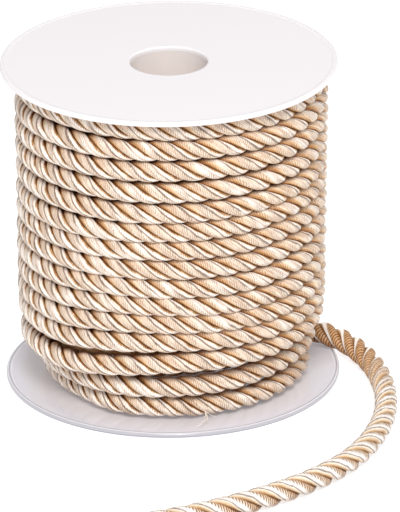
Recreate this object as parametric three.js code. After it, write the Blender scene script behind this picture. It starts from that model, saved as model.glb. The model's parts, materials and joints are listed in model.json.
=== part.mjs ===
// A spool of twisted satin cord: two thin round flanges on a tube, a three strand cord wound on the
// tube in layers, and its loose end, which leaves the lowest turn and lies round the spool.
// Millimetres, +Z up. The origin is the centre of the spool's underside, and the front faces -Y.
import * as THREE from "three";

// Spool
const SPOOL_HEIGHT = 80;
const FLANGE_RADIUS = 40;
const FLANGE_THICKNESS = 1.2;
const EDGE_ROUNDING = 0.5;
const HOLE_RADIUS = 9.15;
const TUBE_INNER_RADIUS = 8.7;
const TUBE_OUTER_RADIUS = 11;
const CLEARANCE = 0.3;

// Cord
const STRANDS = 3;
const CORD_RADIUS = 2.75;
const WOUND_RADIUS = 2.6;
const VALLEY_RADIUS = 1.2;
const CREVICE_DEPTH = 0.9;
const LAYS_PER_TURN = 14;
const LOOSE_LAY = 16.4;

// Winding. A row gives one turn of the outer layer, from the lowest one up: the heights of the cord's
// centre, and its distances from the axis, at five angles from the left of the front to its right.
const ANGLES_FROM_FRONT = [-50, -25, 0, 25, 50];
const FRONT_ANGLE = 270;
const EXIT_ANGLE = 57;
const INNER_LAYER_RADIUS = 28.2;
const TURNS = [
  { height: [4.1, 4.1, 4.1, 4.1, 4.2], radius: [28.1, 30.2, 30.4, 30.5, 30.6] },
  { height: [8.9, 9.1, 9.7, 10.1, 10.6], radius: [30.6, 31.3, 31.8, 31.8, 31.6] },
  { height: [13.4, 15.1, 16.7, 16.9, 17.0], radius: [34.0, 34.0, 33.9, 33.9, 33.8] },
  { height: [20.1, 21.5, 22.3, 22.0, 21.9], radius: [34.2, 34.2, 34.2, 34.2, 34.2] },
  { height: [25.0, 26.6, 27.0, 26.5, 26.4], radius: [34.3, 34.3, 34.3, 34.3, 34.3] },
  { height: [30.0, 31.4, 31.5, 30.9, 31.0], radius: [34.3, 34.3, 34.3, 34.3, 34.3] },
  { height: [35.0, 36.0, 36.0, 35.8, 36.1], radius: [34.4, 34.4, 34.4, 34.4, 34.4] },
  { height: [39.9, 40.6, 40.8, 40.8, 41.2], radius: [34.4, 34.4, 34.4, 34.4, 34.4] },
  { height: [44.7, 45.3, 45.7, 45.7, 46.2], radius: [34.4, 34.4, 34.4, 34.4, 34.4] },
  { height: [49.2, 49.8, 50.4, 50.6, 51.1], radius: [34.5, 34.5, 34.5, 34.5, 34.5] },
  { height: [54.7, 54.8, 55.1, 55.3, 55.6], radius: [34.5, 34.5, 34.5, 34.5, 34.5] },
  { height: [60.2, 60.2, 60.3, 60.6, 60.9], radius: [34.6, 34.6, 34.6, 34.6, 34.6] },
  { height: [65.4, 65.4, 65.8, 65.9, 66.3], radius: [34.7, 34.7, 34.7, 34.7, 34.7] },
  { height: [70.5, 70.6, 71.0, 71.1, 71.2], radius: [34.7, 34.7, 34.7, 34.7, 34.7] },
  { height: [75.9, 75.9, 75.9, 75.9, 75.9], radius: [34.3, 34.3, 34.3, 34.3, 34.3] },
  { height: [81.4, 81.4, 81.4, 81.4, 81.4], radius: [34.3, 34.3, 34.3, 34.3, 34.3] },
];
// The same behind the spool, at places counted in turns from the exit: at the exit, where the lowest
// turn starts to climb, and where it lies over the loose end.
const BEHIND = [
  { place: 0, height: 4.1, radius: 30.4 },
  { place: 0.84, height: 4.7, radius: 30.6 },
  { place: 0.93, height: 9.8, radius: 30.6 },
  { place: 1.02, height: 9.8, radius: 30.6 },
];
// Where two turns part and the layer below shows: the lower one of the two and the angle from the front.
const PARTINGS = [
  { turn: 3, angle: -32, halfWidth: 24, depth: 2.2 },
  { turn: 13, angle: 27, halfWidth: 16, depth: 1.4 },
];
// The winding stands a little to the right at its top.
const LEAN = 0.6;
const LEAN_FROM = 20;

// Loose end: the points that the cord's centre follows, from the exit to the cut end.
const ROUTE = [
  [16.56, 25.5, 4.25],
  [23.3, 21.0, 4.27],
  [30.2, 16.3, 4.28],
  [36.0, 11.9, 4.26],
  [40.2, 8.2, 4.1],
  [43.6, 4.2, 3.6],
  [46.5, -1.0, 3.05],
  [48.5, -7.1, 2.82],
  [49.7, -13.4, 2.8],
  [50.4, -20.0, 2.8],
  [50.5, -26.6, 2.8],
  [50.0, -33.1, 2.8],
  [48.5, -41.2, 2.8],
  [45.6, -50.4, 2.8],
  [41.3, -59.2, 2.8],
  [36.0, -66.4, 2.8],
  [30.2, -72.4, 2.8],
  [23.8, -77.6, 2.8],
  [17.2, -82.2, 2.8],
  [10.4, -86.2, 2.8],
  [3.6, -89.6, 2.8],
  [-2.4, -92.2, 2.8],
  [-9.0, -94.8, 2.8],
  [-15.0, -96.9, 2.8],
  [-21.0, -98.7, 2.8],
];
const SLEEVE_LENGTH = 7;
const SLEEVE_WALL = 0.35;

const FLANGE_WHITE = new THREE.MeshStandardMaterial({ color: 0xf4f2f3, roughness: 0.35, metalness: 0 });
const TUBE_BEIGE = new THREE.MeshStandardMaterial({ color: 0xdfd3cc, roughness: 0.6, metalness: 0 });
const CORD_CHAMPAGNE = new THREE.MeshStandardMaterial({ color: 0xe6cdb2, roughness: 0.4, metalness: 0 });
const CLEAR_TAPE = new THREE.MeshStandardMaterial({ color: 0xe8e8ea, roughness: 0.2, metalness: 0 });

const part = new THREE.Group();

function addPiece(name, geometry, material) {
  const mesh = new THREE.Mesh(geometry, material);
  mesh.name = name;
  part.add(mesh);
  return mesh;
}

const radians = THREE.MathUtils.degToRad;

// A smooth curve through knots [place, value], sorted by place.
function smoothThrough(knots) {
  const slope = (i) => {
    const a = knots[Math.max(i - 1, 0)];
    const b = knots[Math.min(i + 1, knots.length - 1)];
    return (b[1] - a[1]) / (b[0] - a[0]);
  };
  return (place) => {
    const next = knots.findIndex((knot) => knot[0] > place);
    if (next === 0) return knots[0][1];
    if (next < 0) return knots[knots.length - 1][1];
    const [from, to] = [knots[next - 1], knots[next]];
    const span = to[0] - from[0];
    const t = (place - from[0]) / span;
    const leaving = slope(next - 1) * span * t * (1 - t) * (1 - t);
    const arriving = slope(next) * span * t * t * (1 - t);
    return from[1] + (to[1] - from[1]) * t * t * (3 - 2 * t) + leaving - arriving;
  };
}

// Spool

const FLANGE_SIDES = 64;
const TUBE_SIDES = 40;

// A disc with a hole, its rim and the hole's edge rounded, turned about the axis.
function flangeGeometry(bottom) {
  const outline = new THREE.Path();
  const top = bottom + FLANGE_THICKNESS;
  outline.moveTo(HOLE_RADIUS, bottom);
  outline.lineTo(FLANGE_RADIUS - EDGE_ROUNDING, bottom);
  outline.quadraticCurveTo(FLANGE_RADIUS, bottom, FLANGE_RADIUS, bottom + EDGE_ROUNDING);
  outline.lineTo(FLANGE_RADIUS, top - EDGE_ROUNDING);
  outline.quadraticCurveTo(FLANGE_RADIUS, top, FLANGE_RADIUS - EDGE_ROUNDING, top);
  outline.lineTo(HOLE_RADIUS + EDGE_ROUNDING, top);
  outline.quadraticCurveTo(HOLE_RADIUS, top, HOLE_RADIUS, top - EDGE_ROUNDING);
  outline.closePath();
  const profile = outline.getPoints(2);
  return new THREE.LatheGeometry(profile, FLANGE_SIDES).rotateX(Math.PI / 2);
}

function tubeGeometry() {
  const bottom = FLANGE_THICKNESS + CLEARANCE;
  const top = SPOOL_HEIGHT - bottom;
  const profile = [
    new THREE.Vector2(TUBE_INNER_RADIUS, bottom),
    new THREE.Vector2(TUBE_OUTER_RADIUS, bottom),
    new THREE.Vector2(TUBE_OUTER_RADIUS, top),
    new THREE.Vector2(TUBE_INNER_RADIUS, top),
    new THREE.Vector2(TUBE_INNER_RADIUS, bottom),
  ];
  return new THREE.LatheGeometry(profile, TUBE_SIDES).rotateX(Math.PI / 2);
}

addPiece("flange_bottom", flangeGeometry(0), FLANGE_WHITE);
addPiece("flange_top", flangeGeometry(SPOOL_HEIGHT - FLANGE_THICKNESS), FLANGE_WHITE);
addPiece("core_tube", tubeGeometry(), TUBE_BEIGE);

// Winding

const WINDING_BOTTOM = FLANGE_THICKNESS + CLEARANCE;
const WINDING_TOP = SPOOL_HEIGHT - FLANGE_THICKNESS - CLEARANCE;

// Places along the winding are counted in turns from the exit, anticlockwise and up.
const FRONT_PLACE = (FRONT_ANGLE - EXIT_ANGLE) / 360;

function windingKnots(quantity) {
  const knots = BEHIND.map((point) => [point.place, point[quantity]]);
  TURNS.forEach((row, index) => {
    ANGLES_FROM_FRONT.forEach((angle, i) => {
      knots.push([index + FRONT_PLACE + angle / 360, row[quantity][i]]);
    });
  });
  return knots.sort((a, b) => a[0] - b[0]);
}

const cordHeight = smoothThrough(windingKnots("height"));
const cordDistance = smoothThrough(windingKnots("radius"));

// Two columns to a strand, its crest and the crevice beside it. A strand runs down to the right, by
// half a lay from one valley of its turn to the next, so a column leans by STRANDS columns a turn.
const COLUMNS = LAYS_PER_TURN * STRANDS * 2;
const ROWS = 3;
const TURN_COLUMNS = COLUMNS - STRANDS;
// A ridge thinner than this ends flat on the flange.
const THINNEST = 0.4;

const placeOf = (column) => column / COLUMNS;

function partingDepth(turn, place) {
  const angle = THREE.MathUtils.euclideanModulo((place - FRONT_PLACE) * 360 + 180, 360) - 180;
  return PARTINGS.filter((parting) => parting.turn === turn).reduce((deepest, parting) => {
    const across = Math.min(Math.abs(angle - parting.angle) / parting.halfWidth, 1);
    return Math.max(deepest, parting.depth * (1 - across * across));
  }, 0);
}

function windingPoint(place, radius, z) {
  const angle = radians(EXIT_ANGLE + place * 360);
  const shift = (LEAN * (z - LEAN_FROM)) / (SPOOL_HEIGHT - LEAN_FROM);
  return [radius * Math.cos(angle) + shift, radius * Math.sin(angle), z];
}

// The height of the valley above the turn at a place, and its distance from the axis.
function valleyAbove(place) {
  const z = (cordHeight(place) + cordHeight(place + 1)) / 2;
  const turn = Math.round(place - FRONT_PLACE) + 1;
  const distance = Math.min(cordDistance(place), cordDistance(place + 1)) + VALLEY_RADIUS;
  return {
    z: z > WINDING_TOP - THINNEST ? WINDING_TOP : z,
    radius: distance - partingDepth(turn, place),
  };
}

// The underside of the lowest turn.
function footPoint(place) {
  const underside = cordHeight(place) - WOUND_RADIUS;
  const z = underside < WINDING_BOTTOM + THINNEST ? WINDING_BOTTOM : underside;
  return windingPoint(place, cordDistance(place) + VALLEY_RADIUS, z);
}

// A surface put together from numbered points.
class Surface {
  points = [];
  faces = [];

  add(point) {
    this.points.push(...point);
    return this.points.length / 3 - 1;
  }

  height(index) {
    return this.points[index * 3 + 2];
  }

  angle(index) {
    const [x, y] = this.points.slice(index * 3, index * 3 + 2);
    return THREE.MathUtils.euclideanModulo(Math.atan2(y, x), 2 * Math.PI);
  }

  triangle(a, b, c) {
    if (a !== b && b !== c && c !== a) this.faces.push(a, b, c);
  }

  quad(a, b, c, d) {
    this.triangle(a, b, c);
    this.triangle(a, c, d);
  }

  // A flat ring between an outer loop and a hole's edge, both anticlockwise from above.
  ring(outer, hole, facesUp) {
    const loops = [outer, hole].map((loop) => {
      const angles = loop.map((index) => this.angle(index));
      const first = angles.indexOf(Math.min(...angles));
      return [...loop.slice(first), ...loop.slice(0, first)];
    });
    const at = [0, 0];
    const vertex = (side, step) => loops[side][(at[side] + step) % loops[side].length];
    const nextAngle = (side) => {
      if (at[side] === loops[side].length) return Infinity;
      const wrapped = at[side] + 1 === loops[side].length ? 2 * Math.PI : 0;
      return this.angle(vertex(side, 1)) + wrapped;
    };
    while (at[0] < loops[0].length || at[1] < loops[1].length) {
      const side = nextAngle(1) < nextAngle(0) ? 1 : 0;
      const corners =
        side === 0
          ? [vertex(0, 0), vertex(0, 1), vertex(1, 0)]
          : [vertex(1, 1), vertex(1, 0), vertex(0, 0)];
      this.triangle(...(facesUp ? corners : corners.reverse()));
      at[side] += 1;
    }
  }

  geometry() {
    const geometry = new THREE.BufferGeometry();
    geometry.setAttribute("position", new THREE.Float32BufferAttribute(this.points, 3));
    geometry.setIndex(this.faces);
    geometry.computeVertexNormals();
    return geometry;
  }
}

// The ridged outside winds up from the exit. A column of points rises from the valley under its turn
// to the valley above, where the next turn's columns stand; from `closing` on it meets the flange.
function addOutside(surface, closing, last) {
  const columns = [];
  for (let n = 0; n <= last; n++) {
    const onTurnBelow = n >= TURN_COLUMNS;
    const column = [
      onTurnBelow ? columns[n - TURN_COLUMNS][ROWS] : surface.add(footPoint(placeOf(n))),
    ];
    const low = surface.height(column[0]);
    const high = n < closing ? valleyAbove(placeOf(n - STRANDS)).z : WINDING_TOP;
    const fullness = Math.min((high - low) / (2 * WOUND_RADIUS), 1);
    const lean = n < closing ? STRANDS : STRANDS * fullness;
    for (let row = 1; row <= ROWS && n < last; row++) {
      const place = placeOf(n - (lean * row) / ROWS);
      const valley = valleyAbove(place).radius;
      const crest = cordDistance(place) + WOUND_RADIUS - (n % 2 ? CREVICE_DEPTH : 0);
      const radius = row === ROWS ? valley : valley + (crest - valley) * fullness;
      const rise = (1 - Math.cos((Math.PI * row) / ROWS)) / 2;
      column.push(surface.add(windingPoint(place, radius, low + (high - low) * rise)));
    }
    columns.push(n < last ? column : Array(ROWS + 1).fill(column[0]));
  }
  for (let n = 0; n < last; n++) {
    const [left, right] = [columns[n], columns[n + 1]];
    for (let row = 0; row < ROWS; row++)
      surface.quad(left[row], right[row], right[row + 1], left[row + 1]);
  }
  return columns;
}

// The lowest turn rises over the loose end: its underside runs in to the layer below, which goes on
// down to the flange. Returns the edge on the flange.
function addStep(surface, columns) {
  const foot = [];
  const inner = [];
  for (let n = 0; n <= TURN_COLUMNS; n++) {
    const z = surface.height(columns[n][0]);
    foot.push(surface.add(windingPoint(placeOf(n), INNER_LAYER_RADIUS, WINDING_BOTTOM)));
    inner.push(
      z === WINDING_BOTTOM ? foot[n] : surface.add(windingPoint(placeOf(n), INNER_LAYER_RADIUS, z)),
    );
  }
  for (let n = 0; n < TURN_COLUMNS; n++) {
    surface.quad(foot[n], foot[n + 1], inner[n + 1], inner[n]);
    surface.quad(inner[n], inner[n + 1], columns[n + 1][0], columns[n][0]);
  }
  const start = [...columns[0], inner[TURN_COLUMNS], foot[TURN_COLUMNS]];
  for (let i = 0; i + 1 < start.length; i++) surface.triangle(foot[0], start[i], start[i + 1]);
  return foot;
}

function addBore(surface) {
  const radius = TUBE_OUTER_RADIUS + CLEARANCE;
  const edges = [WINDING_BOTTOM, WINDING_TOP].map((z) =>
    Array.from({ length: TUBE_SIDES }, (_, i) => {
      const angle = (i / TUBE_SIDES) * 2 * Math.PI;
      return surface.add([radius * Math.cos(angle), radius * Math.sin(angle), z]);
    }),
  );
  for (let i = 0; i < TUBE_SIDES; i++) {
    const next = (i + 1) % TUBE_SIDES;
    surface.quad(edges[0][i], edges[1][i], edges[1][next], edges[0][next]);
  }
  return edges;
}

function windingGeometry() {
  const surface = new Surface();
  let closing = 0;
  while (valleyAbove(placeOf(closing - STRANDS)).z < WINDING_TOP) closing += 1;
  const last = closing + TURN_COLUMNS;

  const columns = addOutside(surface, closing, last);
  const bottomEdge = addStep(surface, columns);
  const topEdge = columns.slice(closing, last).map((column) => column[ROWS]);
  const [boreBottom, boreTop] = addBore(surface);
  surface.ring(bottomEdge, boreBottom, false);
  surface.ring(topEdge, boreTop, true);
  return surface.geometry();
}

addPiece("cord_winding", windingGeometry(), CORD_CHAMPAGNE);

// Loose end

const SECTION_POINTS = STRANDS * 4;
const STEPS_PER_LAY = 8;
const STRAND_SHAPE = [1, 0.92, 0.7, 0.92];
// The winding starts on a slope, so the loose end's solid starts this far from the exit.
const START_GAP = 8.6;

const routePoints = ROUTE.map((point) => new THREE.Vector3(...point));
const route = new THREE.CatmullRomCurve3(routePoints, false, "centripetal");
route.arcLengthDivisions = 2000;
const routeLength = route.getLength();

// Moves a straight piece along +Z onto the route: z becomes the distance from the exit.
function layAlongRoute(geometry, place) {
  const position = geometry.getAttribute("position");
  const up = new THREE.Vector3(0, 0, 1);
  for (let i = 0; i < position.count; i++) {
    const { u, v, distance } = place(position.getX(i), position.getY(i), position.getZ(i));
    const along = THREE.MathUtils.clamp(distance / routeLength, 0, 1);
    const centre = route.getPointAt(along);
    const tangent = route.getTangentAt(along);
    const side = new THREE.Vector3().crossVectors(up, tangent).normalize();
    const over = new THREE.Vector3().crossVectors(tangent, side);
    centre.addScaledVector(side, u).addScaledVector(over, v);
    position.setXYZ(i, centre.x, centre.y, centre.z);
  }
  geometry.computeVertexNormals();
  return geometry;
}

// The cord is pressed thinner under the sleeve and ends just inside it.
const TAPER_LENGTH = 4;
const END_RECESS = 1;
const SLEEVED_RADIUS = CORD_RADIUS - SLEEVE_WALL - CLEARANCE;
const sleeveStart = routeLength - SLEEVE_LENGTH;

function looseRadius(distance) {
  const taper = THREE.MathUtils.smoothstep(distance, sleeveStart - TAPER_LENGTH, sleeveStart);
  return CORD_RADIUS + (SLEEVED_RADIUS - CORD_RADIUS) * taper;
}

function looseEndGeometry() {
  const section = new THREE.Shape(
    Array.from({ length: SECTION_POINTS }, (_, i) => {
      const angle = (i / SECTION_POINTS) * 2 * Math.PI;
      const radius = STRAND_SHAPE[i % STRAND_SHAPE.length];
      return new THREE.Vector2(radius * Math.cos(angle), radius * Math.sin(angle));
    }),
  );
  const length = routeLength - START_GAP - END_RECESS;
  const steps = Math.round((length / LOOSE_LAY) * STEPS_PER_LAY);
  const straight = new THREE.ExtrudeGeometry(section, { depth: length, steps, bevelEnabled: false });
  return layAlongRoute(straight, (x, y, z) => {
    const distance = START_GAP + z;
    const turn = (2 * Math.PI * distance) / LOOSE_LAY;
    const radius = looseRadius(distance);
    return {
      u: radius * (x * Math.cos(turn) - y * Math.sin(turn)),
      v: radius * (x * Math.sin(turn) + y * Math.cos(turn)),
      distance,
    };
  });
}

function sleeveGeometry() {
  const wall = new THREE.Shape().absarc(0, 0, CORD_RADIUS, 0, 2 * Math.PI, false);
  wall.holes.push(new THREE.Path().absarc(0, 0, CORD_RADIUS - SLEEVE_WALL, 0, 2 * Math.PI, true));
  const straight = new THREE.ExtrudeGeometry(wall, {
    depth: SLEEVE_LENGTH,
    steps: 3,
    bevelEnabled: false,
    curveSegments: 8,
  });
  return layAlongRoute(straight, (x, y, z) => ({ u: x, v: y, distance: sleeveStart + z }));
}

addPiece("cord_end", looseEndGeometry(), CORD_CHAMPAGNE);
addPiece("end_sleeve", sleeveGeometry(), CLEAR_TAPE);

export default part;
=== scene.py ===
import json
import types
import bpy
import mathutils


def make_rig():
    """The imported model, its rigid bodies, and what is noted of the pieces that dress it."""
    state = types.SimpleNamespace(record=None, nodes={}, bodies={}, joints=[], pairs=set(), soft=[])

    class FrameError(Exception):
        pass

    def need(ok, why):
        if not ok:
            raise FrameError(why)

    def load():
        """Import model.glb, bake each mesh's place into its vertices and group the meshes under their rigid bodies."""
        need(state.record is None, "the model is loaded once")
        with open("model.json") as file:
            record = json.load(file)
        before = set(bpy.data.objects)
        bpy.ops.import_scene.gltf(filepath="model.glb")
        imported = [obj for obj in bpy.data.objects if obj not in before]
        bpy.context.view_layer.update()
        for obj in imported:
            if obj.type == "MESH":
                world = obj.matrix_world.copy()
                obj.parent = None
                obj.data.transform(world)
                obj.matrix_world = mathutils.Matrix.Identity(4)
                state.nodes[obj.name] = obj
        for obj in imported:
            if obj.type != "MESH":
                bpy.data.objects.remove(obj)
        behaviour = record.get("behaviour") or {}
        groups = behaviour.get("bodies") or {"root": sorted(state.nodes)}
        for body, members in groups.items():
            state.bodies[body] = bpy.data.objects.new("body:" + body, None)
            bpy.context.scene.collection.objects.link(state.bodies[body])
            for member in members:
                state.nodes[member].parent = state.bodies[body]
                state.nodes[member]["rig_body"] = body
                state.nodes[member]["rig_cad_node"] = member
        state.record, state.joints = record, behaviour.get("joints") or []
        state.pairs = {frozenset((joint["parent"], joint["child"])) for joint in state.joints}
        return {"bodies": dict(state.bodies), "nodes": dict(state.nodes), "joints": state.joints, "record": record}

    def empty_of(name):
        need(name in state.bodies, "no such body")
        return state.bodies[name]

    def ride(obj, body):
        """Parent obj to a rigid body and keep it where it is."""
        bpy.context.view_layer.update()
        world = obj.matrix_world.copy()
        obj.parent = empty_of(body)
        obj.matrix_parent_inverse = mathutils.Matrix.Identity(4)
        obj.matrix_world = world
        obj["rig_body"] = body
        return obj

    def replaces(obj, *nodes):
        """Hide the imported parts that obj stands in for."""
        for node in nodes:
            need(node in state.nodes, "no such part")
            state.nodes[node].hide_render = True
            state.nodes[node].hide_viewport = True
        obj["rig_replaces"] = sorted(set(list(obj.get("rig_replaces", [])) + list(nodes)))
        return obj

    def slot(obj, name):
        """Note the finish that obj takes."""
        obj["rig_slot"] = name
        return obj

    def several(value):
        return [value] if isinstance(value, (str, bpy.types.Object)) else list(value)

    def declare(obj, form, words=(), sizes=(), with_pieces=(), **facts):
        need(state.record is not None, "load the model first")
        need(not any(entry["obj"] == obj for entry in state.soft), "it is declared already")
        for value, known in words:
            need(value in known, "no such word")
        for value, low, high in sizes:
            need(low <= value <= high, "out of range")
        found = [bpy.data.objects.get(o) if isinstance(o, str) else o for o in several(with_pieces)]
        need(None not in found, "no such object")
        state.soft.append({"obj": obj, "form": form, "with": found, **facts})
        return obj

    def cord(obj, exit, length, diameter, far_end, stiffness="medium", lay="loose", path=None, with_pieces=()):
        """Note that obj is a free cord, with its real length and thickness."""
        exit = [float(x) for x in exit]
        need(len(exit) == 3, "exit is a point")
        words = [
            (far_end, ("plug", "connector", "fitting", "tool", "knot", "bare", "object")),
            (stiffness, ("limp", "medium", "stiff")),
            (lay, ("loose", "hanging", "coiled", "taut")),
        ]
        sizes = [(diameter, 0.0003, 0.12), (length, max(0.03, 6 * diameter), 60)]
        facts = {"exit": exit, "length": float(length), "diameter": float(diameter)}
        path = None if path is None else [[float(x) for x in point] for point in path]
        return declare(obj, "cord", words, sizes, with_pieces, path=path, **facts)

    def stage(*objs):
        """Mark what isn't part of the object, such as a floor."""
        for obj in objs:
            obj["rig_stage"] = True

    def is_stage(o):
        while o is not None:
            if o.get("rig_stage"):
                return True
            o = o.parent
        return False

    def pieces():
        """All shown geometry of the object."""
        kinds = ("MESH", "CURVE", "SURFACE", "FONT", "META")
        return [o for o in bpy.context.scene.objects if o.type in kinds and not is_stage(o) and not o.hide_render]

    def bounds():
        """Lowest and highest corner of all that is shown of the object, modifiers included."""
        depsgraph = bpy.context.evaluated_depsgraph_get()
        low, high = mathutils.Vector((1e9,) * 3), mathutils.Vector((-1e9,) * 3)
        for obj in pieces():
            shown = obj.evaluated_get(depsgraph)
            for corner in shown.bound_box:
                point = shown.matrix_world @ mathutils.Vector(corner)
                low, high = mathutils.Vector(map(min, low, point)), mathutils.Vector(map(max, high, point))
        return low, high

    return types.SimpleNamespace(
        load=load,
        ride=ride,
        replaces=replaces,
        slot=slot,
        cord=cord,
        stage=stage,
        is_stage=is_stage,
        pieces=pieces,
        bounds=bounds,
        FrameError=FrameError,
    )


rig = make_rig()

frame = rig.load()
cad_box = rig.bounds()

import json
import math

import bpy
import numpy as np
from mathutils import Matrix, Vector

# Camera. The spool is photographed from a long way off and a little above, so that its two round
# flanges look almost equally wide. The camera is rolled by less than a degree.
CAMERA_DISTANCE = 1.8
CAMERA_ELEVATION = math.radians(22.8)
CAMERA_ROLL = math.radians(-0.7)
CAMERA_TARGET = Vector((0.00682, 0.0, 0.02974))
LENS_MM = 529.9
CLIP_RANGE = 0.1, 20

camera = bpy.data.objects.new("camera", bpy.data.cameras.new("camera"))
bpy.context.scene.collection.objects.link(camera)
bpy.context.scene.camera = camera
camera.data.lens = LENS_MM
camera.data.clip_start, camera.data.clip_end = CLIP_RANGE
away = Vector((0, -math.cos(CAMERA_ELEVATION), math.sin(CAMERA_ELEVATION)))
turned = Matrix.Rotation(math.pi / 2 - CAMERA_ELEVATION, 4, "X") @ Matrix.Rotation(CAMERA_ROLL, 4, "Z")
camera.matrix_world = Matrix.Translation(CAMERA_TARGET + CAMERA_DISTANCE * away) @ turned

# Loose end. The cord is three plump strands laid together right-handed, each of them a soft core
# wrapped closely in shiny champagne thread. It leaves the lowest turn behind on the right, comes
# down to the table and curves round to the front, where its cut end is bound with tape.
STRANDS = 3
LOOSE_RADIUS = 0.00275
LOOSE_LAY = 0.0164
STRAND_OFFSET = 0.52
STRAND_DEPTH = 0.48
STRAND_WIDTH = 0.57
SQUARENESS = 0.9
STEPS_PER_LAY = 18
CURVE_STEPS = 60
STRAND_SIDES = 16
TAPE_LENGTH = 0.007
TAPER_LENGTH = 0.004
END_RECESS = 0.0004
TAPED_SCALE = 0.8
ROUTE_MM = [
    (16.56, 25.5, 4.25),
    (23.3, 21.0, 4.27),
    (30.2, 16.3, 4.28),
    (36.0, 11.9, 4.26),
    (40.2, 8.2, 4.1),
    (43.6, 4.2, 3.6),
    (46.5, -1.0, 3.05),
    (48.5, -7.1, 2.82),
    (49.7, -13.4, 2.8),
    (50.4, -20.0, 2.8),
    (50.5, -26.6, 2.8),
    (50.0, -33.1, 2.8),
    (48.5, -41.2, 2.8),
    (45.6, -50.4, 2.8),
    (41.3, -59.2, 2.8),
    (36.0, -66.4, 2.8),
    (30.2, -72.4, 2.8),
    (23.8, -77.6, 2.8),
    (17.2, -82.2, 2.8),
    (10.4, -86.2, 2.8),
    (3.6, -89.6, 2.8),
    (-2.4, -92.2, 2.8),
    (-9.0, -94.8, 2.8),
    (-15.0, -96.9, 2.8),
    (-21.0, -98.7, 2.8),
]


class Wire:
    """A node's output that arithmetic can be done with."""

    def __init__(self, finish, node, output):
        self.finish = finish
        self.node = node
        self.socket = node.outputs[output]

    def other(self, output):
        return Wire(self.finish, self.node, output)

    def maths(self, operation, *values):
        return self.finish.node("ShaderNodeMath", {"operation": operation}, dict(enumerate((self, *values))))

    def __add__(self, value):
        return self.maths("ADD", value)

    def __sub__(self, value):
        return self.maths("SUBTRACT", value)

    def __rsub__(self, value):
        return self * -1 + value

    def __mul__(self, value):
        return self.maths("MULTIPLY", value)

    __radd__ = __add__
    __rmul__ = __mul__


class Finish:
    """A material, put together node by node round its Principled shader."""

    def __init__(self, name):
        self.material = bpy.data.materials.new(name)
        self.material.use_nodes = True
        self.tree = self.material.node_tree
        self.surface = self.tree.nodes["Principled BSDF"]

    def node(self, kind, settings=None, sockets=None, output=0):
        made = self.tree.nodes.new(kind)
        for name, value in (settings or {}).items():
            if name == "stops":
                self.set_stops(made.color_ramp, value)
            else:
                setattr(made, name, value)
        self.connect(made, sockets or {})
        return Wire(self, made, output)

    def set_stops(self, ramp, stops):
        while len(ramp.elements) < len(stops):
            ramp.elements.new(1.0)
        for element, (position, colour) in zip(ramp.elements, stops):
            element.position = position
            element.color = (*colour, 1)

    def connect(self, node, sockets):
        for name, value in sockets.items():
            if isinstance(value, Wire):
                self.tree.links.new(value.socket, node.inputs[name])
            else:
                node.inputs[name].default_value = value

    def shine(self, **sockets):
        self.connect(self.surface, {name.replace("_", " "): value for name, value in sockets.items()})

    def mixed(self, factor, first, second, blend="MIX"):
        settings = {"data_type": "RGBA", "blend_type": blend}
        return self.node("ShaderNodeMix", settings, {0: factor, 6: first, 7: second}, output=2)


def smooth_curve(points, steps):
    """Points along a curve through the given ones, which is even where they are unevenly spaced."""
    points = np.array(points, float)
    ends = [2 * points[0] - points[1]], [2 * points[-1] - points[-2]]
    points = np.concatenate([ends[0], points, ends[1]])
    laid = []
    for a, b, c, d in zip(points, points[1:], points[2:], points[3:]):
        first, span, last = (np.linalg.norm(q - p) ** 0.5 for p, q in ((a, b), (b, c), (c, d)))
        leaving = ((b - a) / first - (c - a) / (first + span) + (c - b) / span) * span
        arriving = ((c - b) / span - (d - b) / (span + last) + (d - c) / last) * span
        t = np.linspace(0, 1, steps, endpoint=False)[:, None]
        bend = (2 * t**3 - 3 * t**2 + 1) * b + (3 * t**2 - 2 * t**3) * c
        laid.append(bend + (t**3 - 2 * t**2 + t) * leaving + (t**3 - t**2) * arriving)
    return np.concatenate([*laid, points[-2:-1]])


def spaced_along(line, spacing):
    """The line again with points an equal distance apart, and each one's distance from its start."""
    travelled = np.concatenate([[0], np.cumsum(np.linalg.norm(np.diff(line, axis=0), axis=1))])
    distance = np.linspace(0, travelled[-1], round(travelled[-1] / spacing) + 1)
    return np.stack([np.interp(distance, travelled, axis) for axis in line.T], 1), distance


def unit(vectors):
    return vectors / np.linalg.norm(vectors, axis=-1, keepdims=True)


def smooth_step(value, start, end):
    t = np.clip((value - start) / (end - start), 0, 1)
    return t * t * (3 - 2 * t)


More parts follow.
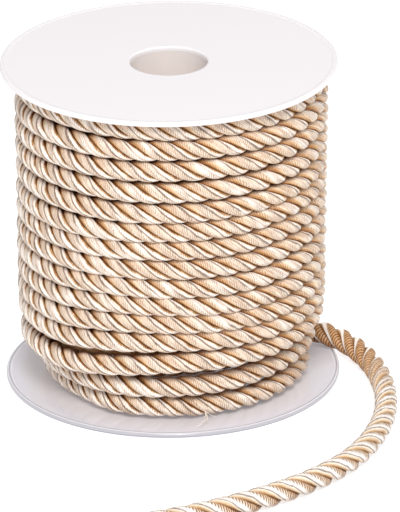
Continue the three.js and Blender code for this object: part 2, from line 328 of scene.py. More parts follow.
def strand_surface(centre, out, up, turn, radius, sides=STRAND_SIDES):
    """One strand's vertices, their places in the cord, faces and thread coordinates, from the cord's
    centre line, the two directions across it, the strand's angle between them and the cord's radius."""
    around = np.linspace(-math.pi, math.pi, sides, endpoint=False)
    outward = radius[:, None] * (STRAND_OFFSET + STRAND_DEPTH * np.cos(around))
    rounded = np.sign(np.sin(around)) * np.abs(np.sin(around)) ** SQUARENESS
    sideways = radius[:, None] * STRAND_WIDTH * rounded
    cos, sin = np.cos(turn)[:, None], np.sin(turn)[:, None]
    along_out = outward * cos - sideways * sin
    along_up = outward * sin + sideways * cos
    rings = centre[:, None] + along_out[..., None] * out[:, None] + along_up[..., None] * up[:, None]
    crest = centre + (radius * STRAND_OFFSET)[:, None] * (cos * out + sin * up)
    length = np.concatenate([[0], np.cumsum(np.linalg.norm(np.diff(crest, axis=0), axis=1))]) * 1000

    count = len(centre)
    ring, side = np.meshgrid(np.arange(count - 1), np.arange(sides), indexing="ij")
    here, beside = ring * sides + side, ring * sides + (side + 1) % sides
    quads = np.stack([here, beside, beside + sides, here + sides], -1).reshape(-1, 4)
    thread_u = np.stack([length[ring], length[ring], length[ring + 1], length[ring + 1]], -1)
    thread_v = np.stack([side, side + 1, side + 1, side], -1) / sides
    caps = [list(range(sides))[::-1], [(count - 1) * sides + i for i in range(sides)]]
    in_cord = np.stack([along_out, along_up, 0 * along_up], -1) / radius[:, None, None]
    threads = np.stack([thread_u, thread_v], -1)
    return rings.reshape(-1, 3), in_cord.ravel(), quads, threads.reshape(-1, 2), caps


def strand_piece(name, surfaces, material):
    """One object out of strand surfaces, with the thread coordinates as its UV map."""
    vertices, faces, threads, in_cord = [], [], [], []
    first = 0
    for points, offsets, quads, coordinates, caps in surfaces:
        vertices += points.tolist()
        in_cord += offsets.tolist()
        faces += (quads + first).tolist() + [[i + first for i in cap] for cap in caps]
        threads += coordinates.tolist() + [[0, 0.5] for cap in caps for _ in cap]
        first += len(points)
    mesh = bpy.data.meshes.new(name)
    mesh.from_pydata(vertices, [], faces)
    mesh.uv_layers.new(name="threads").data.foreach_set("uv", np.array(threads).ravel())
    mesh.attributes.new("in_cord", "FLOAT_VECTOR", "POINT").data.foreach_set("vector", in_cord)
    mesh.shade_smooth()
    mesh.materials.append(material)
    piece = bpy.data.objects.new(name, mesh)
    bpy.context.scene.collection.objects.link(piece)
    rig.ride(piece, "root")
    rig.slot(piece, "cord")
    return piece


# The wrapping thread. Across a strand, from its lower crevice to its upper one, the colour goes from painted
# shade and deep gold to cream, has a thin grey line of painted shade and then a painted highlight band; the
# wrap's fine ribs run across it. The colours are set by where a point lies across the strand, from 0 to 1, and
# blotches vary them along it.
SHADE = (0.19, 0.09, 0.045)
DEEP = (0.45, 0.25, 0.11)
BROWN = (0.40, 0.26, 0.17)
CARAMEL = (0.62, 0.36, 0.17)
GOLD = (0.70, 0.46, 0.24)
HONEY = (0.82, 0.53, 0.28)
PEACH = (0.91, 0.71, 0.50)
BLUSH = (0.90, 0.77, 0.66)
CREAM = (0.97, 0.90, 0.79)
SHADE_LINE_GREY = (0.36, 0.29, 0.25)
PEARL = (1.0, 0.97, 0.93)
TAUPE = (0.54, 0.40, 0.30)
AMBER = (0.86, 0.62, 0.36)
UMBER = (0.50, 0.22, 0.09)
RIB_SHADE = (0.32, 0.17, 0.09)
BLACK = (0, 0, 0)
WHITE = (1, 1, 1)
PAINTED_HIGHLIGHT_GLOW = 0.30
SATIN_ROUGHNESS = 0.36
SATIN_SHINE = 0.25
RIB_HEIGHT = 0.00006
RIB_STRENGTH = 0.6
BLOTCHES = 0.35, 5, 2.0
UNEVENNESS = 0.12
HAIRLINES = 0.16, 34, 1.0
HAIRLINE_RANGE = 0.42, 0.62


class Satin(Finish):
    """Satin thread, whose colours are laid over a strand by its thread coordinates."""

    def __init__(self, name, pitch_mm, slant, waviness):
        super().__init__(name)
        place = self.node("ShaderNodeUVMap", {"uv_map": "threads"})
        self.along = self.node("ShaderNodeSeparateXYZ", sockets={0: place})
        self.across_strand = self.along.other(1)
        self.uneven = self.noise(*BLOTCHES)
        self.around = self.across_strand + (self.uneven - 0.5) * UNEVENNESS
        turns = self.along * (1 / pitch_mm) + self.across_strand * slant + self.uneven * waviness
        self.rib = (turns * (2 * math.pi)).maths("SINE") * 0.5 + 0.5

    def noise(self, along_scale, across_scale, detail):
        places = {0: self.along * along_scale, 1: self.across_strand * across_scale}
        spread = self.node("ShaderNodeCombineXYZ", sockets=places)
        sockets = {"Vector": spread, "Scale": 1.0, "Detail": detail}
        return self.node("ShaderNodeTexNoise", {"noise_dimensions": "2D"}, sockets)

    def across(self, stops):
        return self.node("ShaderNodeValToRGB", {"stops": stops}, {0: self.around})

    def between(self, value, start, end, interpolation="SMOOTHSTEP"):
        sockets = {0: value, 1: start, 2: end}
        return self.node("ShaderNodeMapRange", {"interpolation_type": interpolation}, sockets)

    def tinted(self, amount, colour, tint):
        return self.mixed(amount, colour, (*tint, 1), "MULTIPLY")

    def place_in_cord(self):
        """How far a point of the surface lies outward and upward in the cord, in cord radii."""
        place = self.node("ShaderNodeAttribute", {"attribute_name": "in_cord"}, output=1)
        outward = self.node("ShaderNodeSeparateXYZ", sockets={0: place})
        return outward, outward.other(1)

    def finished(self, colour, rib_depth, hairline_depth, rib_colour, glint):
        hairlines = self.between(self.noise(*HAIRLINES), *HAIRLINE_RANGE, "LINEAR")
        lined = self.tinted(hairlines * hairline_depth, colour, TAUPE)
        # The ribs are a bump and also painted shade: a darker colour in the grooves between the threads.
        ribbed = self.tinted((1 - self.rib) * rib_depth, lined, rib_colour)
        height = {"Height": self.rib, "Strength": RIB_STRENGTH, "Distance": RIB_HEIGHT}
        bump = self.node("ShaderNodeBump", sockets=height)
        # The glint is a painted highlight that glows: emission in the pearl colour wherever glint is given.
        gleam = self.mixed(glint, (*BLACK, 1), (*PEARL, 1))
        self.shine(Base_Color=ribbed, Roughness=SATIN_ROUGHNESS, Normal=bump, Specular_IOR_Level=SATIN_SHINE)
        self.shine(Emission_Color=gleam, Emission_Strength=PAINTED_HIGHLIGHT_GLOW)
        return self.material


PATCHES = 0.11, 0.6, 1.0
LINED_PATCHES = 0.36, 0.50
RICHER_PATCHES = 0.45, 0.62
HONEY_DEPTH = 0.16
UPPER_EDGE_SHADE = 0.0, 0.75
CREVICE = 0.26, 0.50
AMBER_SHADE_DEPTH = 0.6
SUNK_SHADE = -0.3, 0.4
SUNK_SHADE_DEPTH = 0.5
RIBBED_BLOTCHES = 0.3, 0.6
WOUND_RIB_DEPTH = 0.85
SPARKLING_BLOTCHES = 0.35, 0.6
LEAST_SPARKLE = 0.25
MOST_SPARKLE = 0.75

wound_satin = Satin("wound_satin", pitch_mm=0.60, slant=2.6, waviness=1.8)
# Painted light across each strand: the dark stops at both ends are painted shade in the crevices, the grey stops a
# painted dark line and the pearl stops a painted highlight band; patches pick strands with or without the line.
wound_stops = [
    (0.185, SHADE), (0.205, DEEP), (0.23, GOLD), (0.26, PEACH), (0.32, CREAM), (0.42, BLUSH), (0.55, CREAM),
    (0.585, SHADE_LINE_GREY), (0.615, SHADE_LINE_GREY), (0.645, PEARL), (0.73, PEARL), (0.755, GOLD), (0.79, DEEP), (0.815, SHADE),
]
plain_stops = [
    (0.185, SHADE), (0.21, DEEP), (0.24, CARAMEL), (0.27, GOLD), (0.33, PEACH), (0.42, CREAM), (0.52, PEARL),
    (0.60, BLUSH), (0.65, PEARL), (0.73, PEARL), (0.755, GOLD), (0.79, DEEP), (0.815, SHADE),
]
patches = wound_satin.noise(*PATCHES)
lined = wound_satin.between(patches, *LINED_PATCHES, "LINEAR")
wound_colour = wound_satin.mixed(lined, wound_satin.across(plain_stops), wound_satin.across(wound_stops))
richer = wound_satin.between(patches, *RICHER_PATCHES, "LINEAR")
wound_colour = wound_satin.tinted(richer * HONEY_DEPTH, wound_colour, HONEY)
outward, upward = wound_satin.place_in_cord()
# Painted warm shade: the upper side of each turn, by the crevices, where it lies under the turn above, is tinted
# amber.
upper_edge_shade = wound_satin.between(upward, *UPPER_EDGE_SHADE)
near_crevice = 1 - wound_satin.between(wound_satin.around, *CREVICE)
wound_colour = wound_satin.tinted(upper_edge_shade * near_crevice * AMBER_SHADE_DEPTH, wound_colour, AMBER)
# Painted shade: the strands' sides that face into the spool, between the turns, are darkened towards umber.
sunk_shade = 1 - wound_satin.between(outward, *SUNK_SHADE)
wound_colour = wound_satin.tinted(sunk_shade * SUNK_SHADE_DEPTH, wound_colour, UMBER)
# Painted highlight: a glowing band over the highlight stops, its strength varied by blotches and left out where the
# strands are in painted shade.
wound_highlight_band = wound_satin.across([(0.62, BLACK), (0.66, WHITE), (0.72, WHITE), (0.745, BLACK)])
wound_ribs = wound_satin.between(wound_satin.uneven, *RIBBED_BLOTCHES) * WOUND_RIB_DEPTH
sparkle = wound_satin.between(wound_satin.uneven, *SPARKLING_BLOTCHES)
sparkle = sparkle * (MOST_SPARKLE - LEAST_SPARKLE) + LEAST_SPARKLE
wound_highlight_glow = (1 - sunk_shade) * wound_highlight_band * sparkle
champagne = wound_satin.finished(
    wound_colour, rib_depth=wound_ribs, hairline_depth=0.50, rib_colour=TAUPE, glint=wound_highlight_glow,
)

# The layer below takes a shaded copy of the satin: its colours are darker and more golden, painted as deep shade, and
# it has no painted highlight.
inner_satin = Satin("inner_satin", pitch_mm=0.55, slant=2.6, waviness=2.2)
inner_colour = inner_satin.across([
    (0.20, CARAMEL), (0.35, GOLD), (0.50, PEACH), (0.62, HONEY), (0.78, CARAMEL),
])
shaded_champagne = inner_satin.finished(
    inner_colour, rib_depth=0.5, hairline_depth=0.6, rib_colour=UMBER, glint=0,
)

PALER_MM = 44.0, 74.0
UNDERSIDE = -0.75, 0.0
UNDERSIDE_SHADE_DEPTH = 0.55
BROWN_DEPTH = 0.08
EXIT_GLINT = 0.9

loose_satin = Satin("loose_satin", pitch_mm=0.70, slant=1.6, waviness=0.6)
# Near the exit the cord lies in the spool's shadow: these colours are painted shade, deep caramel and gold, with a
# pearl band of painted highlight.
shaded_near_exit = loose_satin.across([
    (0.19, CARAMEL), (0.24, GOLD), (0.40, HONEY), (0.54, GOLD), (0.60, PEARL), (0.72, PEARL), (0.75, GOLD),
    (0.80, DEEP),
])
# A glowing painted highlight over that band, standing in for the satin's sheen in the shadow.
exit_glint = loose_satin.across([(0.57, BLACK), (0.62, WHITE), (0.71, WHITE), (0.74, BLACK)])
exit_ribs = loose_satin.across([(0.52, WHITE), (0.60, BLACK)])
# In front the pearl stops are a painted highlight band, the grey stops a painted dark line and the brown and caramel
# ends painted shade in the crevices.
in_front = loose_satin.across([
    (0.20, CARAMEL), (0.225, GOLD), (0.27, PEACH), (0.325, CREAM), (0.345, SHADE_LINE_GREY), (0.37, SHADE_LINE_GREY), (0.40, PEARL),
    (0.49, PEARL), (0.56, CREAM), (0.66, PEACH), (0.74, PEACH), (0.765, BROWN), (0.80, BROWN),
])
front_ribs = loose_satin.across([(0.47, BLACK), (0.54, WHITE)])
# The painted shade of the exit gives way to the front colours between 44 and 74 mm along the strands.
paler = loose_satin.between(loose_satin.along, *PALER_MM)
_, upward = loose_satin.place_in_cord()
# Painted shade: the underside of the loose cord is tinted brown, on top of a slight even brown tint of the whole cord.
underneath = 1 - loose_satin.between(upward, *UNDERSIDE)
loose_colour = loose_satin.mixed(paler, shaded_near_exit, in_front)
underside_shade_and_tint = underneath * UNDERSIDE_SHADE_DEPTH + BROWN_DEPTH
loose_colour = loose_satin.tinted(underside_shade_and_tint, loose_colour, BROWN)
loose_ribs = loose_satin.mixed(paler, exit_ribs, front_ribs)
loose_gleam = (1 - paler) * (exit_glint * EXIT_GLINT)
loose_champagne = loose_satin.finished(
    loose_colour, rib_depth=loose_ribs, hairline_depth=0.25, rib_colour=RIB_SHADE, glint=loose_gleam,
)

route = smooth_curve(np.array(ROUTE_MM) / 1000, CURVE_STEPS)
route, distance = spaced_along(route, LOOSE_LAY / STEPS_PER_LAY)
route_length = distance[-1]
direction = unit(np.gradient(route, axis=0))
side_way = unit(np.cross((0, 0, 1), direction))
over = np.cross(direction, side_way)
tape_start = route_length - TAPE_LENGTH
pressed = smooth_step(distance, tape_start - TAPER_LENGTH, tape_start)
loose_radius = LOOSE_RADIUS * (1 - pressed + TAPED_SCALE * pressed)
inside = distance <= route_length - END_RECESS

loose_strands = []
for strand in range(STRANDS):
    turn = 2 * math.pi * (strand / STRANDS + distance / LOOSE_LAY)
    rows = (route, side_way, over, turn, loose_radius)
    loose_strands.append(strand_surface(*(row[inside] for row in rows)))
loose_cord = strand_piece("loose_cord", loose_strands, loose_champagne)
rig.replaces(loose_cord, "cord_end")

# Clear tape. The cut end is bound with one wrap of clear adhesive tape, so that the strands don't
# unlay. The wrap is a little wider than the strands pressed into it, and open at both ends.
TAPE_WALL = 0.00035
TAPE_SIDES = 48
TAPE_ROWS = 6
TAPE_EDGE_ANGLE = math.radians(40)
TAPE_CLEAR = (0.86, 0.87, 0.9, 1)

tape = Finish("clear_tape")
tape.shine(Base_Color=TAPE_CLEAR, Roughness=0.12, Alpha=0.4, IOR=1.47)

tape_line, _ = spaced_along(route[distance >= tape_start], TAPE_LENGTH / TAPE_ROWS)
tape_direction = unit(np.gradient(tape_line, axis=0))
tape_side = unit(np.cross((0, 0, 1), tape_direction))
tape_over = np.cross(tape_direction, tape_side)
angles = np.linspace(0, 2 * math.pi, TAPE_SIDES, endpoint=False)
skins = []
for radius in (LOOSE_RADIUS, LOOSE_RADIUS - TAPE_WALL):
    spokes = np.cos(angles)[:, None] * tape_side[:, None] + np.sin(angles)[:, None] * tape_over[:, None]
    skins.append(tape_line[:, None] + radius * spokes)
loop = np.concatenate([skins[0], skins[1][::-1]])
rows = len(loop)
tape_faces = []
for row in range(rows):
    here, there = row * TAPE_SIDES, (row + 1) % rows * TAPE_SIDES
    for i in range(TAPE_SIDES):
        after = (i + 1) % TAPE_SIDES
        tape_faces.append((here + i, there + i, there + after, here + after))
tape_mesh = bpy.data.meshes.new("tape_wrap")
tape_mesh.from_pydata(loop.reshape(-1, 3).tolist(), [], tape_faces)
tape_mesh.shade_smooth()
tape_mesh.set_sharp_from_angle(angle=TAPE_EDGE_ANGLE)
tape_mesh.materials.append(tape.material)
tape_wrap = bpy.data.objects.new("tape_wrap", tape_mesh)
bpy.context.scene.collection.objects.link(tape_wrap)
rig.ride(tape_wrap, "root")
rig.slot(tape_wrap, "tape")
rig.replaces(tape_wrap, "end_sleeve")

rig.cord(
    loose_cord,
    exit=route[0],
    length=distance[inside][-1],
    diameter=2 * LOOSE_RADIUS,
    far_end="bare",
    stiffness="limp",
    lay="loose",
    path=route[inside],
    with_pieces=[tape_wrap],
)

# Outer layer of the winding. The same cord goes round the spool from bottom to top, each turn
# pressed against the one below. It dips and rises a little, steps in at the bottom, where it climbs
# over the loose end, and tucks itself into the layer below under the top flange.
SPOOL_HEIGHT = 0.08
WOUND_RADIUS = 0.0026
WOUND_FLATNESS = 0.97
LAYS_PER_TURN = 13.7
EXIT_ANGLE = 57
FRONT_PLACE = (270 - EXIT_ANGLE) / 360
LEAN_MM = 0.6
LEAN_FROM_MM = 20
HIGHEST_CENTRE_MM = 76.15
TUCKS_FROM = 14.78
TUCKS_TO = 15.2
LAYER_STEP_MM = 4.4
STRAND_WOBBLE = 0.25
WAVES_PER_TURN = (1.3, 2.9, 6.1, 11.7)
WAVE_FALLOFF = 0.4
WOUND_STEPS = 16
WOUND_SIDES = 14
WOUND_SEED = 3
ANGLES_FROM_FRONT = (-50, -25, 0, 25, 50)
TURNS_MM = [
    ((4.1, 4.1, 4.1, 4.1, 4.2), (28.1, 30.2, 30.4, 30.5, 30.6)),
    ((8.9, 9.1, 9.7, 10.1, 10.6), (30.6, 31.3, 31.8, 31.8, 31.6)),
    ((13.4, 15.1, 16.7, 16.9, 17.0), (34.0, 34.0, 33.9, 33.9, 33.8)),
    ((20.1, 21.5, 22.3, 22.0, 21.9), (34.2, 34.2, 34.2, 34.2, 34.2)),
    ((25.0, 26.6, 27.0, 26.5, 26.4), (34.3, 34.3, 34.3, 34.3, 34.3)),
    ((30.0, 31.4, 31.5, 30.9, 31.0), (34.3, 34.3, 34.3, 34.3, 34.3)),
    ((35.0, 36.0, 36.0, 35.8, 36.1), (34.4, 34.4, 34.4, 34.4, 34.4)),
    ((39.9, 40.6, 40.8, 40.8, 41.2), (34.4, 34.4, 34.4, 34.4, 34.4)),
    ((44.7, 45.3, 45.7, 45.7, 46.2), (34.4, 34.4, 34.4, 34.4, 34.4)),
    ((49.2, 49.8, 50.4, 50.6, 51.1), (34.5, 34.5, 34.5, 34.5, 34.5)),
    ((54.7, 54.8, 55.1, 55.3, 55.6), (34.5, 34.5, 34.5, 34.5, 34.5)),
    ((60.2, 60.2, 60.3, 60.6, 60.9), (34.6, 34.6, 34.6, 34.6, 34.6)),
    ((65.4, 65.4, 65.8, 65.9, 66.3), (34.7, 34.7, 34.7, 34.7, 34.7)),
    ((70.5, 70.6, 71.0, 71.1, 71.2), (34.7, 34.7, 34.7, 34.7, 34.7)),
    ((75.9, 75.9, 75.9, 75.9, 75.9), (34.3, 34.3, 34.3, 34.3, 34.3)),
    ((81.4, 81.4, 81.4, 81.4, 81.4), (34.3, 34.3, 34.3, 34.3, 34.3)),
]
BEHIND = [(0, 4.1, 30.4), (0.84, 4.7, 30.6), (0.93, 9.8, 30.6), (1.02, 9.8, 30.6)]

height_knots = [(place, height) for place, height, _ in BEHIND]
distance_knots = [(place, radius) for place, _, radius in BEHIND]
for number, (heights, radii) in enumerate(TURNS_MM):
    for angle, height, radius in zip(ANGLES_FROM_FRONT, heights, radii):
        place = number + FRONT_PLACE + angle / 360
        height_knots.append((place, height))
        distance_knots.append((place, radius))


def smooth_through(knots, places):
    """Values at places on a smooth curve through (place, value) knots."""
    at, value = np.array(sorted(knots)).T
    before = np.maximum(np.arange(len(at)) - 1, 0)
    after = np.minimum(np.arange(len(at)) + 1, len(at) - 1)
    slope = (value[after] - value[before]) / (at[after] - at[before])
    right = np.clip(np.searchsorted(at, places, side="right"), 1, len(at) - 1)
    left = right - 1
    span = at[right] - at[left]
    t = np.clip((places - at[left]) / span, 0, 1)
    eased = value[left] + (value[right] - value[left]) * t * t * (3 - 2 * t)
    return eased + span * t * (1 - t) * (slope[left] * (1 - t) - slope[right] * t)


def wobble(places, amount, seed):
    """Slow unevenness along the winding, out of waves that come so many times a turn."""
    generator = np.random.default_rng(seed)
    total = np.zeros_like(places)
    for frequency in WAVES_PER_TURN:
        total += np.sin(2 * math.pi * (frequency * places + generator.random())) / frequency**WAVE_FALLOFF
    return amount * total / 2


def wound_strands(places, height_mm, distance_mm, sides, seed):
    """The cord's strands round the spool, at heights and distances from the axis given for places. The
    winding leans a little to the right as it goes up."""
    angle = np.radians(EXIT_ANGLE + places * 360)
    lean = LEAN_MM * (height_mm - LEAN_FROM_MM) / (SPOOL_HEIGHT * 1000 - LEAN_FROM_MM)
    across = np.stack([np.cos(angle), np.sin(angle), np.zeros_like(angle)], 1)
    centre = distance_mm[:, None] * across + np.stack([lean, 0 * lean, height_mm], 1)
    up = np.tile((0.0, 0.0, WOUND_FLATNESS), (len(places), 1))
    radius = np.full(len(places), WOUND_RADIUS)
    for strand in range(STRANDS):
        turn = 2 * math.pi * (strand / STRANDS - LAYS_PER_TURN * places) + wobble(places, STRAND_WOBBLE, seed)
        yield strand_surface(centre / 1000, across, up, turn, radius, sides)


places = np.linspace(0, TUCKS_TO, round(TUCKS_TO * LAYS_PER_TURN * WOUND_STEPS) + 1)
wound_height = np.minimum(smooth_through(height_knots, places), HIGHEST_CENTRE_MM)
wound_distance = smooth_through(distance_knots, places)
wound_distance -= LAYER_STEP_MM * smooth_step(places, TUCKS_FROM, TUCKS_TO)
outer_surfaces = wound_strands(places, wound_height, wound_distance, WOUND_SIDES, WOUND_SEED)
for number, surface in enumerate(outer_surfaces, 1):
    wound_strand = strand_piece(f"wound_strand_{number}", [surface], champagne)
    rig.replaces(wound_strand, "cord_winding")

# Layer below. Where two turns part, the layer underneath shows; its turns lie in the grooves
# between those of the outer layer. It is the same cord, seen only in deep shade, and its satin has that shade
# painted into its colours.
INNER_TURNS = 14.6
LOWEST_CENTRE_MM = 4.1
INNER_STEPS = 9
INNER_SIDES = 8
INNER_SEED = 8

inner_places = np.linspace(0, INNER_TURNS, round(INNER_TURNS * LAYS_PER_TURN * INNER_STEPS) + 1)
heights = [smooth_through(height_knots, inner_places + turn) for turn in (0, 1)]
distances = [smooth_through(distance_knots, inner_places + turn) for turn in (0, 1)]
inner_height = np.clip((heights[0] + heights[1]) / 2, LOWEST_CENTRE_MM, HIGHEST_CENTRE_MM)
inner_distance = np.minimum(*distances) - LAYER_STEP_MM
inner_surfaces = wound_strands(inner_places, inner_height, inner_distance, INNER_SIDES, INNER_SEED)
strand_piece("inner_layer", inner_surfaces, shaded_champagne)

# Frayed threads. A little right of the front, on the lowest turn, some fine filaments of the wrapping
# thread have worked loose. They curl out of a crevice of the cord and hang down to the flange.
FRAYED_THREADS = 7
FRAYED_POINTS = 8
FRAYED_SEED = 11
FRAYED_ANGLE = -76.6
FRAYED_SPREAD = 2.6
SPREAD_GROWTH = 1.5
CURL_RATE = 5
CURL_DEGREES = 0.4
FRAYED_FROM = (0.0326, 0.0034)
FRAYED_TO = (0.0372, 0.0014)
OUTWARD_ARC = math.pi * 0.6
DROOP = 1.6
FILAMENT_RADIUS = 0.00005
FLUFF_SCALE = 900.0

filament = Finish("filament")
fluff = filament.node("ShaderNodeTexNoise", sockets={"Scale": FLUFF_SCALE})
filament.shine(Base_Color=filament.mixed(fluff, (*PEACH, 1), (*PEARL, 1)), Roughness=0.5)
frayed_curve = bpy.data.curves.new("frayed_threads", "CURVE")
frayed_curve.dimensions = "3D"
frayed_curve.bevel_depth = FILAMENT_RADIUS
frayed_curve.bevel_resolution = 1
generator = np.random.default_rng(FRAYED_SEED)
for _ in range(FRAYED_THREADS):
    reach = generator.uniform(0.35, 1.0)
    sway = generator.normal(0, 1)
    spline = frayed_curve.splines.new("POLY")
    spline.points.add(FRAYED_POINTS - 1)
    for point, t in zip(spline.points, np.linspace(0, 1, FRAYED_POINTS)):
        curl = math.sin(CURL_RATE * t + sway) * CURL_DEGREES * t
        angle = math.radians(FRAYED_ANGLE + FRAYED_SPREAD * sway * t**SPREAD_GROWTH + curl)
        radius = FRAYED_FROM[0] + (FRAYED_TO[0] - FRAYED_FROM[0]) * reach * math.sin(t * OUTWARD_ARC)
        height = FRAYED_FROM[1] + (FRAYED_TO[1] - FRAYED_FROM[1]) * reach * t**DROOP
        point.co = (radius * math.cos(angle), radius * math.sin(angle), height, 1)
frayed_curve.materials.append(filament.material)
frayed_threads = bpy.data.objects.new("frayed_threads", frayed_curve)
bpy.context.scene.collection.objects.link(frayed_threads)
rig.ride(frayed_threads, "root")
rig.slot(frayed_threads, "cord")

# Flanges. Two thin discs moulded in milky polystyrene, glossy, with a rounded rim, a hairline step
# just inside it and a round hole for the spindle. They are pressed on the ends of the tube.
FLANGE_RADIUS = 0.04
FLANGE_THICKNESS = 0.0012
EDGE_ROUNDING = 0.0005
CORNER_POINTS = 7
HOLE_RADIUS = 0.00915
STEP_RADIUS = 0.0388
STEP_DEPTH = 0.00012
STEP_SLOPE = 0.0001
FLAT_BORDER = 0.0003
FLANGE_SIDES = 192
TURNED_EDGE_ANGLE = math.radians(35)

MILK = (0.885, 0.855, 0.87)
LAVENDER = (0.54, 0.525, 0.565)
WARM_WHITE = (0.50, 0.475, 0.475)
RIM_SHADE = (0.20, 0.20, 0.24)
RIM_LIGHT = (0.70, 0.70, 0.73)
WALL_GREY = (0.33, 0.325, 0.35)
LINE_HEIGHT = 0.0005
LINE_FROM_MM = 39.0
RAMP_MM = 50
# The lower disc's rings paint light and shade: the darker warm white next to the winding is painted shade and a
# painted reflection of the cord, the light rings at the step and on the rounded rim are painted highlights, the dark
# ring between them is painted shade, and the grey side wall is painted shade.
LOWER_RINGS = [
    (0, WARM_WHITE), (33, WARM_WHITE), (37.5, LAVENDER), (38.5, LAVENDER), (38.8, RIM_LIGHT),
    (39.1, LAVENDER), (39.25, RIM_SHADE), (39.4, RIM_SHADE), (39.55, RIM_LIGHT), (39.7, RIM_LIGHT),
    (39.85, WALL_GREY),
]


def milky_plastic(name, rings_mm, roughness, glow):
    """Plastic whose tone changes with the distance from the axis, with a line of painted shade round its lower
    edge. Glow is painted light that the plastic gives off.
    """
    milky = Finish(name)
    place = milky.node("ShaderNodeTexCoord", output=3)
    scale = 1000 / RAMP_MM
    flat = milky.node("ShaderNodeVectorMath", {"operation": "MULTIPLY"}, {0: place, 1: (scale, scale, 0)})
    distance = milky.node("ShaderNodeVectorMath", {"operation": "LENGTH"}, {0: flat}, output=1)
    rings = [(ring / RAMP_MM, colour) for ring, colour in rings_mm]
    tone = milky.node("ShaderNodeValToRGB", {"stops": rings}, {0: distance})
    height = milky.node("ShaderNodeSeparateXYZ", sockets={0: place}).other(2)
    at_rim = distance.maths("GREATER_THAN", LINE_FROM_MM / RAMP_MM)
    # Painted shade: a dark line round the lowest half millimetre of the rim.
    outer_shade_line = (1 - height.maths("GREATER_THAN", LINE_HEIGHT)) * at_rim
    tone = milky.mixed(outer_shade_line, tone, (*RIM_SHADE, 1))
    milky.shine(Base_Color=tone, Roughness=roughness, Emission_Color=(*LAVENDER, 1), Emission_Strength=glow)
    return milky.material


# The lower disc is a shaded copy of the plastic: its tones are darker than the upper disc's, as painted shade under
# the winding, and its glow is painted light standing in for light through the plastic.
upper_milk = milky_plastic("upper_milk", [(0, MILK), (RAMP_MM, MILK)], roughness=0.25, glow=0)
shaded_lower_milk = milky_plastic("shaded_lower_milk", LOWER_RINGS, roughness=0.15, glow=0.34)


def turned_piece(name, profile, sides, material, slot):
    """A piece turned about the spool's axis from a closed profile of (radius, height) points."""
    angle = np.linspace(0, 2 * math.pi, sides, endpoint=False)
    rings = [np.stack([r * np.cos(angle), r * np.sin(angle), np.full(sides, z)], 1) for r, z in profile]
    count = len(profile)
    faces = []
    for row in range(count):
        here, there = row * sides, (row + 1) % count * sides
        for i in range(sides):
            after = (i + 1) % sides
            faces.append((here + i, here + after, there + after, there + i))
    mesh = bpy.data.meshes.new(name)
    mesh.from_pydata(np.concatenate(rings).tolist(), [], faces)
    mesh.shade_smooth()
    mesh.set_sharp_from_angle(angle=TURNED_EDGE_ANGLE)
    mesh.materials.append(material)
    piece = bpy.data.objects.new(name, mesh)
    bpy.context.scene.collection.objects.link(piece)
    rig.ride(piece, "root")
    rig.slot(piece, slot)
    return piece


def rounded_corner(radius, height, reach, start_degrees):
    """Points of a quarter circle inside a corner, whose centre lies reach in from both sides."""
    turns = np.radians(start_degrees + np.linspace(0, 90, CORNER_POINTS))
    return [(radius + reach * math.cos(turn), height + reach * math.sin(turn)) for turn in turns]


def flange_profile(bottom):
    """Anticlockwise, stepped on its upper face. Narrow borders beside the edges keep the faces flat."""
    top = bottom + FLANGE_THICKNESS
    rim, hole = FLANGE_RADIUS - EDGE_ROUNDING, HOLE_RADIUS + EDGE_ROUNDING
    step_height = top - STEP_DEPTH
    outside, inside = STEP_RADIUS + STEP_SLOPE, STEP_RADIUS - STEP_SLOPE
    return (
        [(HOLE_RADIUS, bottom), (rim - FLAT_BORDER, bottom)]
        + rounded_corner(rim, bottom + EDGE_ROUNDING, EDGE_ROUNDING, -90)
        + rounded_corner(rim, top - EDGE_ROUNDING, EDGE_ROUNDING, 0)
        + [(STEP_RADIUS + FLAT_BORDER, top), (outside, top)]
        + [(inside, step_height), (inside - FLAT_BORDER, step_height)]
        + [(hole + FLAT_BORDER, step_height)]
        + rounded_corner(hole, step_height - EDGE_ROUNDING, EDGE_ROUNDING, 90)
    )


for name, node, bottom, milk in (
    ("disc_bottom", "flange_bottom", 0.0, shaded_lower_milk),
    ("disc_top", "flange_top", SPOOL_HEIGHT - FLANGE_THICKNESS, upper_milk),
):
    disc = turned_piece(name, flange_profile(bottom), FLANGE_SIDES, milk, "flange")
    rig.replaces(disc, node)

# Tube. A dull beige tube of moulded plastic carries the winding, with a flange pressed on each end. It
# shows only down the hole, where its bore is flush with the flange's edge.
TUBE_INNER_RADIUS = 0.0091
TUBE_OUTER_RADIUS = 0.011
TUBE_GAP = 0.00005
TUBE_SIDES = 96
BEIGE = (0.82, 0.75, 0.72, 1)

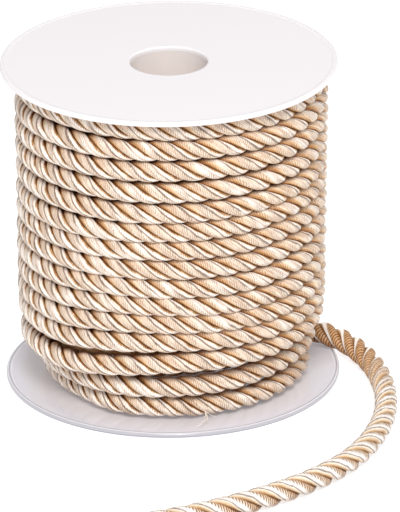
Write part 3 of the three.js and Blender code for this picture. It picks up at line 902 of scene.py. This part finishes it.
beige = Finish("beige_plastic")
beige.shine(Base_Color=BEIGE, Roughness=0.55)
tube_bottom = FLANGE_THICKNESS + TUBE_GAP
tube_top = SPOOL_HEIGHT - tube_bottom
tube_profile = [
    (TUBE_INNER_RADIUS, tube_bottom),
    (TUBE_OUTER_RADIUS, tube_bottom),
    (TUBE_OUTER_RADIUS, tube_top),
    (TUBE_INNER_RADIUS, tube_top),
]
tube = turned_piece("tube", tube_profile, TUBE_SIDES, beige.material, "tube")
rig.replaces(tube, "core_tube")

# Floor and light. A white sweep, lit evenly and softly from all round, with one large lamp high in
# front and a weaker one at the right, a little behind.
FLOOR_SIZE = 6.0
FLOOR_GREY = (0.45, 0.45, 0.45, 1)
ROOM_WHITE = (1.0, 0.99, 0.985, 1)
ROOM_STRENGTH = 0.52
LIT_POINT = Vector((0, 0, 0.04))

floor_mesh = bpy.data.meshes.new("floor")
corner = FLOOR_SIZE / 2
corners = [(-corner, -corner, 0), (corner, -corner, 0), (corner, corner, 0), (-corner, corner, 0)]
floor_mesh.from_pydata(corners, [], [(0, 1, 2, 3)])
floor = bpy.data.objects.new("floor", floor_mesh)
bpy.context.scene.collection.objects.link(floor)
white_sweep = Finish("white_sweep")
white_sweep.shine(
    Base_Color=FLOOR_GREY,
    Roughness=0.9,
    Specular_IOR_Level=0.1,
    Emission_Color=(*WHITE, 1),
    Emission_Strength=0.74,
)
floor_mesh.materials.append(white_sweep.material)
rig.stage(floor)

world = bpy.data.worlds.new("studio")
bpy.context.scene.world = world
world.use_nodes = True
background = world.node_tree.nodes["Background"]
background.inputs["Color"].default_value = ROOM_WHITE
background.inputs["Strength"].default_value = ROOM_STRENGTH
bpy.context.scene.view_settings.view_transform = "Standard"

for name, spot, size, power in (
    ("key_lamp", (0.05, -0.95, 1.05), 0.5, 14.5),
    ("side_lamp", (0.9, 0.3, 0.8), 0.4, 1.5),
):
    lamp = bpy.data.objects.new(name, bpy.data.lights.new(name, "AREA"))
    lamp.data.size = size
    lamp.data.energy = power
    lamp.location = spot
    lamp.rotation_euler = (LIT_POINT - lamp.location).to_track_quat("-Z", "Y").to_euler()
    bpy.context.scene.collection.objects.link(lamp)

with open("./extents.json", "w") as sizes:
    boxes = {"cad": cad_box, "visual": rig.bounds()}
    json.dump({name: [list(corner) for corner in box] for name, box in boxes.items()}, sizes)
